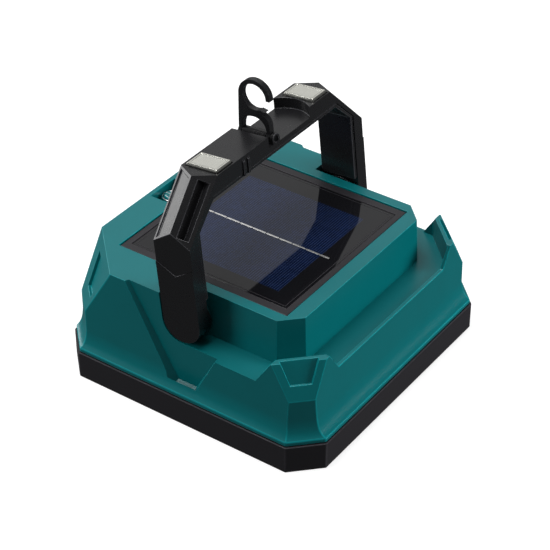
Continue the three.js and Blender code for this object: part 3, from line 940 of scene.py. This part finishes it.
@dataclass
class Controls(SubAssembly):
    """The power button in its chromed ring, the socket and the charge lights."""

    def build(self) -> None:
        """Rounds the button, ring and flap, and dresses what is behind them."""
        self.rounded("power_button", Palette.TEAL, "teal_plastic", 0.35 * MM, Body.BUTTON)
        self.rounded("button_trim_ring", Palette.CHROME, "nickel", 0.2 * MM)
        self.rounded("usb_flap", Palette.RUBBER, "rubber", 0.25 * MM, Body.FLAP)
        self.rounded("indicator_light_pipe", Palette.FROST, "clear_plastic", 0.15 * MM)
        self.rounded("usb_socket", Palette.STEEL, "steel", 0.12 * MM)
        self.power_mark()
        self.flap_grips()
        self.dress(["control_board"], Palette.BOARD)
        self.dress(["charge_chip", "driver_chip", "driver_coil", "power_switch"], Palette.CHIP)
        self.dress(["battery_tray"], Palette.BLACK)
        self.dress([f"battery_cell_{i}" for i in range(1, 5)], Palette.WRAP)
        self.dress(["battery_strip_near", "battery_strip_far"], Palette.NICKEL)

    def power_mark(self) -> None:
        """Sets the usual on-off sign, a broken circle with a stroke, on the button."""
        low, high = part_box("power_button")
        middle = Vector(((low.x + high.x) / 2, (low.y + high.y) / 2, high.z))
        radius = 0.36 * (high.x - low.x)
        line = 0.16 * MM
        arc = [math.radians(a) for a in range(-140, 141, 14)]
        bm = bmesh.new()
        tube_path(bm, [middle + radius * Vector((math.cos(a), math.sin(a), 0)) for a in arc], line, sides=8)
        tube_path(bm, [middle - Vector((radius * 1.1, 0, 0)), middle], line, sides=8)
        self.piece("power_mark", bm, Palette.MARK, "white_plastic", Body.BUTTON)

    def flap_grips(self) -> None:
        """Adds three moulded bars that a fingertip finds on the socket flap."""
        low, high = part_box("usb_flap")
        margin = 3 * MM
        tall = 0.7 * MM
        back, front = low.x + 0.15 * MM, low.x + 0.75 * MM
        bm = bmesh.new()
        for height in (0.32 + 0.16 * i for i in range(3)):
            z = low.z + height * (high.z - low.z)
            block(bm, (back, low.y + margin, z), (front, high.y - margin, z + tall))
        soften(bm, 0.12 * MM)
        self.piece("usb_flap_grips", bm, Palette.RUBBER, "rubber", Body.FLAP)


@dataclass
class Handle(SubAssembly):
    """The folding handle: arch, liner, magnets, hook and pins."""

    body: Body = Body.HANDLE
    edge: float = 0.5 * MM
    ribs: tuple[float, ...] = (-28.6 * MM, -24.8 * MM)

    def __post_init__(self) -> None:
        """Reads the handle's own axes from its two hinges."""
        hinges = {joint["name"]: joint for joint in frame["joints"]}
        self.pivot = Vector(hinges["handle_hinge"]["pos_m"])
        self.across = -Vector(hinges["hook_hinge"]["axis"]).normalized()
        self.up = self.across.cross(Vector((0, 1, 0)))

    def at(self, x: float, y: float, z: float) -> Vector:
        """A point given along the handle's own axes, from its pivot.

        Args:
            x: Across the bar.
            y: Along the bar.
            z: Up the arms.

        Returns:
            The point in the lantern's frame.
        """
        return self.pivot + self.across * x + Vector((0, y, 0)) + self.up * z

    def build(self) -> None:
        """Rounds the mouldings and adds the bar's ribs."""
        self.rounded("handle", Palette.HANDLE, "black_plastic", self.edge, rework=self.sink_faces)
        self.rounded("handle_liner", Palette.HANDLE, "black_plastic", 0.3 * MM)
        self.rounded("hook", Palette.HANDLE, "black_plastic", 0, Body.HOOK,
                     rework=lambda bm: melt(bm, voxel=0.2 * MM, passes=5, trim=0.15 * MM))
        for side in ("near", "far"):
            self.rounded(f"magnet_{side}", Palette.NICKEL, "nickel", 0.25 * MM, rework=self.magnet_line)
            self.dress([f"pivot_pin_{side}"], Palette.STEEL)
            self.dress([f"friction_washer_{side}"], Palette.NICKEL)
        self.rounded("hook_pin", Palette.BLACKENED, "steel", 0.2 * MM)
        self.bar_ribs()

    def sink_faces(self, bm: bmesh.types.BMesh) -> None:
        """Sinks a framed field into the left roof face of each sloping shoulder.

        Args:
            bm: The handle's mesh.
        """
        border = 1.9 * MM
        slope = 0.8 * MM
        largest = []
        for side in (-1, 1):
            facing = [
                face for face in bm.faces
                if face.normal.dot(self.across) < -0.3 and side * face.normal.y > 0.2
                and face.normal.dot(self.up) > 0.2
            ]
            largest.append(max(facing, key=lambda face: face.calc_area()))
        for face in largest:
            bmesh.ops.inset_individual(bm, faces=[face], thickness=border, depth=0)
            bmesh.ops.inset_individual(bm, faces=[face], thickness=slope, depth=-slope)

    def magnet_line(self, bm: bmesh.types.BMesh) -> None:
        """Clips the corners of a magnet and cuts the fine line that runs round its top.

        Args:
            bm: The magnet's mesh.
        """
        clip = 1.2 * MM
        margin = 1.2 * MM
        line = 0.3 * MM
        upright = 0.9
        uprights = [
            edge for edge in bm.edges
            if abs((edge.verts[0].co - edge.verts[1].co).normalized().dot(self.up)) > upright
        ]
        bmesh.ops.bevel(bm, geom=uprights, offset=clip, segments=2, profile=0.5, affect="EDGES")
        bm.normal_update()
        top = max(bm.faces, key=lambda face: face.normal.dot(self.up) * face.calc_area())
        bmesh.ops.inset_individual(bm, faces=[top], thickness=margin, depth=0)
        bmesh.ops.inset_individual(bm, faces=[top], thickness=line, depth=-line)

    def bar_ribs(self) -> None:
        """Adds the upright ribs on the right side of the bar."""
        wide, proud = 1.5 * MM, 0.7 * MM
        face = 11.2 * MM
        root = face - 0.2 * MM
        foot, head = 62.4 * MM, 71.6 * MM
        slant = 1.2 * MM
        bm = bmesh.new()
        for y in self.ribs:
            outline = [
                self.at(root, y, foot), self.at(root, y, head),
                self.at(face + proud, y, head - slant), self.at(face + proud, y, foot),
            ]
            prism(bm, outline, (0, wide, 0))
        soften(bm, 0.2 * MM)
        self.piece("bar_ribs", bm, Palette.HANDLE, "black_plastic")


# ------------------------------------------------------------------ studio
@dataclass
class Softbox:
    """A rectangular lamp aimed at a point."""

    name: str
    place: Point
    aim: Point
    size: tuple[float, float]
    power: float
    mirrored: bool = True

    def build(self) -> None:
        """Hangs the lamp."""
        lamp = bpy.data.lights.new(self.name, "AREA")
        lamp.shape = "RECTANGLE"
        lamp.size, lamp.size_y = self.size
        lamp.energy = self.power
        obj = bpy.data.objects.new(self.name, lamp)
        obj.location = self.place
        obj.rotation_mode = "QUATERNION"
        obj.rotation_quaternion = (Vector(self.aim) - Vector(self.place)).to_track_quat("-Z", "Y")
        obj.visible_glossy = self.mirrored
        bpy.context.scene.collection.objects.link(obj)


@dataclass
class Studio:
    """The camera, the paper floor, the lamps and the sky."""

    azimuth: float = math.radians(35.17)
    elevation: float = math.radians(35.97)
    distance: float = 992.73 * MM
    lift: float = 34.43 * MM
    lens: float = 120.95
    sky: float = 0.08

    def build(self) -> None:
        """Sets up everything that isn't the lantern."""
        self.camera()
        self.floor()
        self.sky_light()
        for lamp in self.lamps():
            lamp.build()

    def camera(self) -> None:
        """Places the camera."""
        a, e = self.azimuth, self.elevation
        back = Vector((math.sin(a) * math.cos(e), -math.cos(a) * math.cos(e), math.sin(e)))
        up = Vector((-math.sin(e) * math.sin(a), math.sin(e) * math.cos(a), math.cos(e)))
        data = bpy.data.cameras.new("camera")
        data.sensor_width = 36.0
        data.lens = self.lens
        data.clip_start, data.clip_end = 0.05, 20.0
        obj = bpy.data.objects.new("camera", data)
        obj.location = back * self.distance + up * self.lift
        obj.rotation_mode = "QUATERNION"
        obj.rotation_quaternion = (-back).to_track_quat("-Z", "Y")
        bpy.context.scene.collection.objects.link(obj)
        bpy.context.scene.camera = obj
        bpy.context.scene.view_settings.view_transform = "Standard"

    def floor(self) -> None:
        """Lays the paper, just under the lantern, and curls it up all round, far out."""
        bm = bmesh.new()
        level = cad_box[0].z - 0.05 * MM
        steps = 64
        bowl = ((3.0, 0.0), (3.5, 0.15), (3.85, 0.6), (4.0, 2.5))
        rings = [
            [bm.verts.new((out * math.cos(turn), out * math.sin(turn), level + rise))
             for turn in (math.tau * i / steps for i in range(steps))]
            for out, rise in bowl]
        bm.faces.new(rings[0])
        for low, high in zip(rings, rings[1:]):
            for i in range(steps):
                j = (i + 1) % steps
                bm.faces.new([low[i], high[i], high[j], low[j]])
        mesh = bpy.data.meshes.new("studio_floor")
        bm.to_mesh(mesh)
        bm.free()
        mesh.materials.append(Palette.PAPER.material())
        obj = bpy.data.objects.new("studio_floor", mesh)
        obj.visible_glossy = False
        obj.visible_diffuse = False
        obj.visible_shadow = False
        bpy.context.scene.collection.objects.link(obj)

    def sky_light(self) -> None:
        """Fills the studio with an even pale light."""
        world = bpy.data.worlds.new("studio_sky")
        bpy.context.scene.world = world
        world.use_nodes = True
        shade = world.node_tree.nodes["Background"]
        shade.inputs["Color"].default_value = (0.96, 0.98, 1.0, 1.0)
        shade.inputs["Strength"].default_value = self.sky

    def lamps(self) -> list[Softbox]:
        """The softboxes: overhead, wide and dim at the back, and one on each of the other sides."""
        middle = (0.0, 0.0, 0.06)
        return [
            Softbox("overhead_softbox", (-0.25, -0.05, 1.30), middle, (0.8, 0.8), 14.5),
            Softbox("back_softbox", (-0.62, 0.85, 0.80), middle, (1.3, 1.0), 1.9),
            Softbox("left_softbox", (-1.15, -0.05, 0.30), middle, (0.9, 0.5), 6.0),
            Softbox("near_softbox", (-0.80, -0.90, 0.50), middle, (0.5, 0.5), 8.0, mirrored=False),
            Softbox("right_softbox", (1.00, 0.55, 0.35), middle, (0.7, 0.6), 15.0, mirrored=False),
        ]


def main() -> None:
    """Builds the studio and every sub-assembly."""
    logging.basicConfig(level=logging.INFO, format="%(name)s: %(message)s")
    Studio().build()
    for part in (Housing(), Base(), SolarPanel(), Controls(), Handle()):
        part.build()
        for name in part.made:
            log.info("%s: %s", type(part).__name__, name)


if __name__ == "__main__":
    main()
